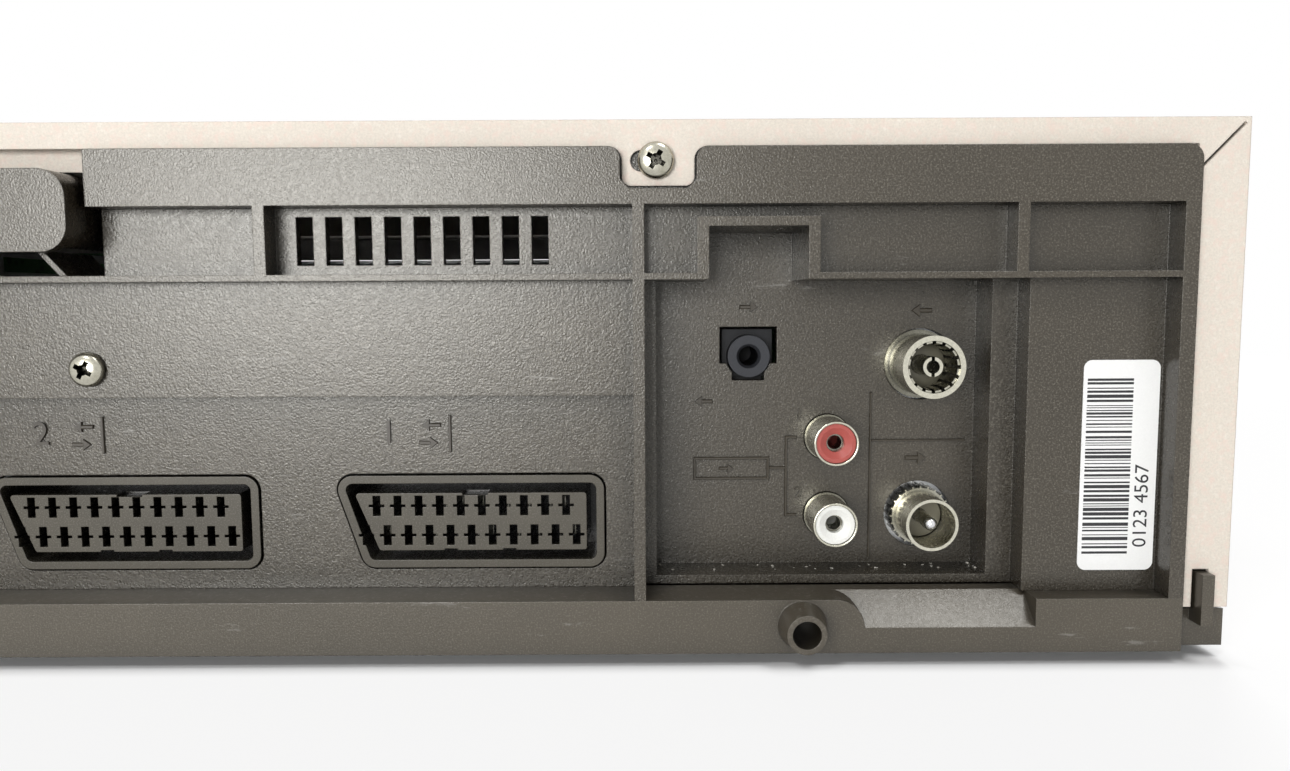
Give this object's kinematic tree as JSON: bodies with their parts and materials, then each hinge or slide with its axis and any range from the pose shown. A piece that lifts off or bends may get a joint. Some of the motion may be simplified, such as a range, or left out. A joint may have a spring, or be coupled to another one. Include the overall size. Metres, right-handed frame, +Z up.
{
  "type": "video cassette recorder",
  "caption": "Front-loading video cassette recorder with a folded steel cover, ribbed rear socket panel, cassette door, push buttons and jog dial.",
  "frame": {"origin": "middle of the case's footprint, on the table under the rubber feet", "axes": "+X to the right seen from the front, +Y towards the rear sockets, +Z up"},
  "size_m": [0.4, 0.28, 0.094],
  "materials": {
    "bare_aluminium": "machined aluminium",
    "black_plastic": "grained charcoal moulding, smooth gloss on the pocket walls",
    "board_brown": "phenolic circuit board",
    "bright_steel": "ground steel",
    "button_red": "dark red push button",
    "button_silver": "silver push button",
    "capacitor_sleeve": "dark blue shrink sleeve",
    "cover_paint": "light champagne metallic paint on steel, fine leather grain",
    "dial_black": "ribbed dark grey ring",
    "dial_silver": "spun silver dial",
    "front_silver": "champagne silver painted plastic",
    "insert_red": "coral red socket insert",
    "insert_white": "cream white socket insert",
    "label_paper": "satin white label with black print",
    "nickel": "bright nickel plate, a little yellow",
    "rubber": "matt black rubber",
    "screw_zinc": "yellow passivated zinc screw",
    "smoked_window": "smoked clear plastic",
    "socket_black": "black glass-filled socket moulding",
    "tube_glass": "dark display glass",
    "white_plastic": "natural white nylon",
    "winding_tape": "yellow winding tape over a dark core",
    "zinc_steel": "zinc plated sheet steel"
  },
  "bodies": {
    "case": {"chassis_frame": "black_plastic", "bottom_plate": "zinc_steel", "rubber_feet": "rubber", "top_cover": "cover_paint", "case_screws": "screw_zinc", "rear_panel": "black_plastic", "bar_code_label": "label_paper", "av_socket_1": "socket_black", "av_socket_2": "socket_black", "aerial_input": "nickel", "aerial_output": "nickel", "phono_block": "nickel", "phono_red_insert": "insert_red", "phono_white_insert": "insert_white", "control_jack": "socket_black", "tuner_can": "zinc_steel", "mains_inlet": "socket_black", "main_board": "board_brown", "power_board": "board_brown", "transformer": "winding_tape", "capacitors": "capacitor_sleeve", "heat_sink": "bare_aluminium", "front_panel": "front_silver", "display_window": "smoked_window", "display_tube": "tube_glass", "front_board": "board_brown", "front_jacks": "socket_black", "deck_plate": "zinc_steel", "deck_fittings": "bright_steel", "carriage_sides": "zinc_steel", "lower_drum": "bare_aluminium"},
    "cassette_door": {"cassette_door": "front_silver"},
    "jack_flap": {"jack_flap": "front_silver"},
    "shuttle_ring": {"shuttle_ring": "dial_black"},
    "jog_dial": {"jog_dial": "dial_silver"},
    "power_button": {"power_button": "button_silver"},
    "eject_button": {"eject_button": "button_silver"},
    "channel_up_button": {"channel_up_button": "button_silver"},
    "channel_down_button": {"channel_down_button": "button_silver"},
    "rewind_button": {"rewind_button": "button_silver"},
    "play_button": {"play_button": "button_silver"},
    "forward_button": {"forward_button": "button_silver"},
    "stop_button": {"stop_button": "button_silver"},
    "pause_button": {"pause_button": "button_silver"},
    "record_button": {"record_button": "button_red"},
    "upper_drum": {"upper_drum": "bare_aluminium"},
    "capstan": {"capstan": "bright_steel"},
    "supply_reel": {"supply_reel": "white_plastic"},
    "take_up_reel": {"take_up_reel": "white_plastic"},
    "idler_arm": {"idler_arm": "white_plastic"},
    "idler_gear": {"idler_gear": "white_plastic"},
    "cam_gear": {"cam_gear": "white_plastic"},
    "loading_worm": {"loading_worm": "white_plastic"},
    "supply_guide": {"supply_guide": "bright_steel"},
    "take_up_guide": {"take_up_guide": "bright_steel"},
    "pinch_arm": {"pinch_arm": "bright_steel"},
    "pinch_roller": {"pinch_roller": "rubber"},
    "tension_arm": {"tension_arm": "bright_steel"},
    "holder_slides": {"holder_slides": "zinc_steel"},
    "cassette_holder": {"cassette_holder": "zinc_steel"}
  },
  "joints": [
    {"name": "door_swing", "type": "hinge", "parent": "case", "child": "cassette_door", "pos_m": [0, -0.1336, 0.0805], "axis": [1, 0, 0], "range_deg": [0, 88], "stiffness_Nm_per_rad": 0.006, "springref_deg": -28.65},
    {"name": "flap_open", "type": "hinge", "parent": "case", "child": "jack_flap", "pos_m": [-0.154, -0.1338, 0.0144], "axis": [1, 0, 0], "range_deg": [0, 92]},
    {"name": "shuttle_turn", "type": "hinge", "parent": "case", "child": "shuttle_ring", "pos_m": [0.15, -0.136, 0.0302], "axis": [0, 1, 0], "range_deg": [-60, 60], "stiffness_Nm_per_rad": 0.01},
    {"name": "jog_turn", "type": "hinge", "parent": "case", "child": "jog_dial", "pos_m": [0.15, -0.136, 0.0302], "axis": [0, 1, 0], "continuous": true},
    {"name": "power_press", "type": "slide", "parent": "case", "child": "power_button", "axis": [0, 1, 0], "range_m": [0, 0.0008], "stiffness_N_per_m": 500, "springref_m": -0.0006},
    {"name": "eject_press", "type": "slide", "parent": "case", "child": "eject_button", "axis": [0, 1, 0], "range_m": [0, 0.0008], "stiffness_N_per_m": 500, "springref_m": -0.0006},
    {"name": "channel_up_press", "type": "slide", "parent": "case", "child": "channel_up_button", "axis": [0, 1, 0], "range_m": [0, 0.0008], "stiffness_N_per_m": 500, "springref_m": -0.0006},
    {"name": "channel_down_press", "type": "slide", "parent": "case", "child": "channel_down_button", "axis": [0, 1, 0], "range_m": [0, 0.0008], "stiffness_N_per_m": 500, "springref_m": -0.0006},
    {"name": "rewind_press", "type": "slide", "parent": "case", "child": "rewind_button", "axis": [0, 1, 0], "range_m": [0, 0.0008], "stiffness_N_per_m": 500, "springref_m": -0.0006},
    {"name": "play_press", "type": "slide", "parent": "case", "child": "play_button", "axis": [0, 1, 0], "range_m": [0, 0.0008], "stiffness_N_per_m": 500, "springref_m": -0.0006},
    {"name": "forward_press", "type": "slide", "parent": "case", "child": "forward_button", "axis": [0, 1, 0], "range_m": [0, 0.0008], "stiffness_N_per_m": 500, "springref_m": -0.0006},
    {"name": "stop_press", "type": "slide", "parent": "case", "child": "stop_button", "axis": [0, 1, 0], "range_m": [0, 0.0008], "stiffness_N_per_m": 500, "springref_m": -0.0006},
    {"name": "pause_press", "type": "slide", "parent": "case", "child": "pause_button", "axis": [0, 1, 0], "range_m": [0, 0.0008], "stiffness_N_per_m": 500, "springref_m": -0.0006},
    {"name": "record_press", "type": "slide", "parent": "case", "child": "record_button", "axis": [0, 1, 0], "range_m": [0, 0.0008], "stiffness_N_per_m": 500, "springref_m": -0.0006},
    {"name": "drum_spin", "type": "hinge", "parent": "case", "child": "upper_drum", "pos_m": [0, 0.055, 0.029], "axis": [0.0958, 0, 0.9954], "continuous": true},
    {"name": "capstan_spin", "type": "hinge", "parent": "case", "child": "capstan", "pos_m": [0.066, 0.001, 0.026], "axis": [0, 0, 1], "continuous": true},
    {"name": "supply_spin", "type": "hinge", "parent": "case", "child": "supply_reel", "pos_m": [-0.046, -0.051, 0.026], "axis": [0, 0, 1], "continuous": true},
    {"name": "take_up_spin", "type": "hinge", "parent": "case", "child": "take_up_reel", "pos_m": [0.046, -0.051, 0.026], "axis": [0, 0, 1], "continuous": true},
    {"name": "idler_swing", "type": "hinge", "parent": "case", "child": "idler_arm", "pos_m": [0, -0.036, 0.026], "axis": [0, 0, 1], "range_deg": [-28, 28]},
    {"name": "idler_spin", "type": "hinge", "parent": "idler_arm", "child": "idler_gear", "pos_m": [0, -0.058, 0.026], "axis": [0, 0, 1], "continuous": true},
    {"name": "cam_turn", "type": "hinge", "parent": "case", "child": "cam_gear", "pos_m": [-0.092, 0.053, 0.026], "axis": [0, 0, 1], "range_deg": [0, 170]},
    {"name": "worm_spin", "type": "hinge", "parent": "case", "child": "loading_worm", "pos_m": [-0.0692, 0.053, 0.0375], "axis": [0, 1, 0], "range_deg": [0, 6120]},
    {"name": "supply_guide_travel", "type": "slide", "parent": "case", "child": "supply_guide", "axis": [-0.0879, 0.9961, 0], "range_m": [0, 0.06826]},
    {"name": "take_up_guide_travel", "type": "slide", "parent": "case", "child": "take_up_guide", "axis": [0.0879, 0.9961, 0], "range_m": [0, 0.06826]},
    {"name": "pinch_swing", "type": "hinge", "parent": "case", "child": "pinch_arm", "pos_m": [0.088, 0.034, 0.026], "axis": [0, 0, 1], "range_deg": [0, 20]},
    {"name": "pinch_spin", "type": "hinge", "parent": "pinch_arm", "child": "pinch_roller", "pos_m": [0.05905, 0.0188, 0.026], "axis": [0, 0, 1], "continuous": true},
    {"name": "tension_swing", "type": "hinge", "parent": "case", "child": "tension_arm", "pos_m": [-0.084, 0.023, 0.026], "axis": [0, 0, 1], "range_deg": [0, 20]},
    {"name": "holder_travel_in", "type": "slide", "parent": "case", "child": "holder_slides", "axis": [0, 1, 0], "range_m": [0, 0.063]},
    {"name": "holder_drop", "type": "slide", "parent": "holder_slides", "child": "cassette_holder", "axis": [0, 0, -1], "range_m": [0, 0.018]}
  ],
  "couplings": [
    {"joint": "worm_spin", "follows": "cam_turn", "ratio": 36},
    {"joint": "supply_guide_travel", "follows": "cam_turn", "m_per_rad": 0.023007},
    {"joint": "take_up_guide_travel", "follows": "cam_turn", "m_per_rad": 0.023007},
    {"joint": "pinch_swing", "follows": "cam_turn", "ratio": 0.11765},
    {"joint": "tension_swing", "follows": "cam_turn", "ratio": 0.11765}
  ]
}
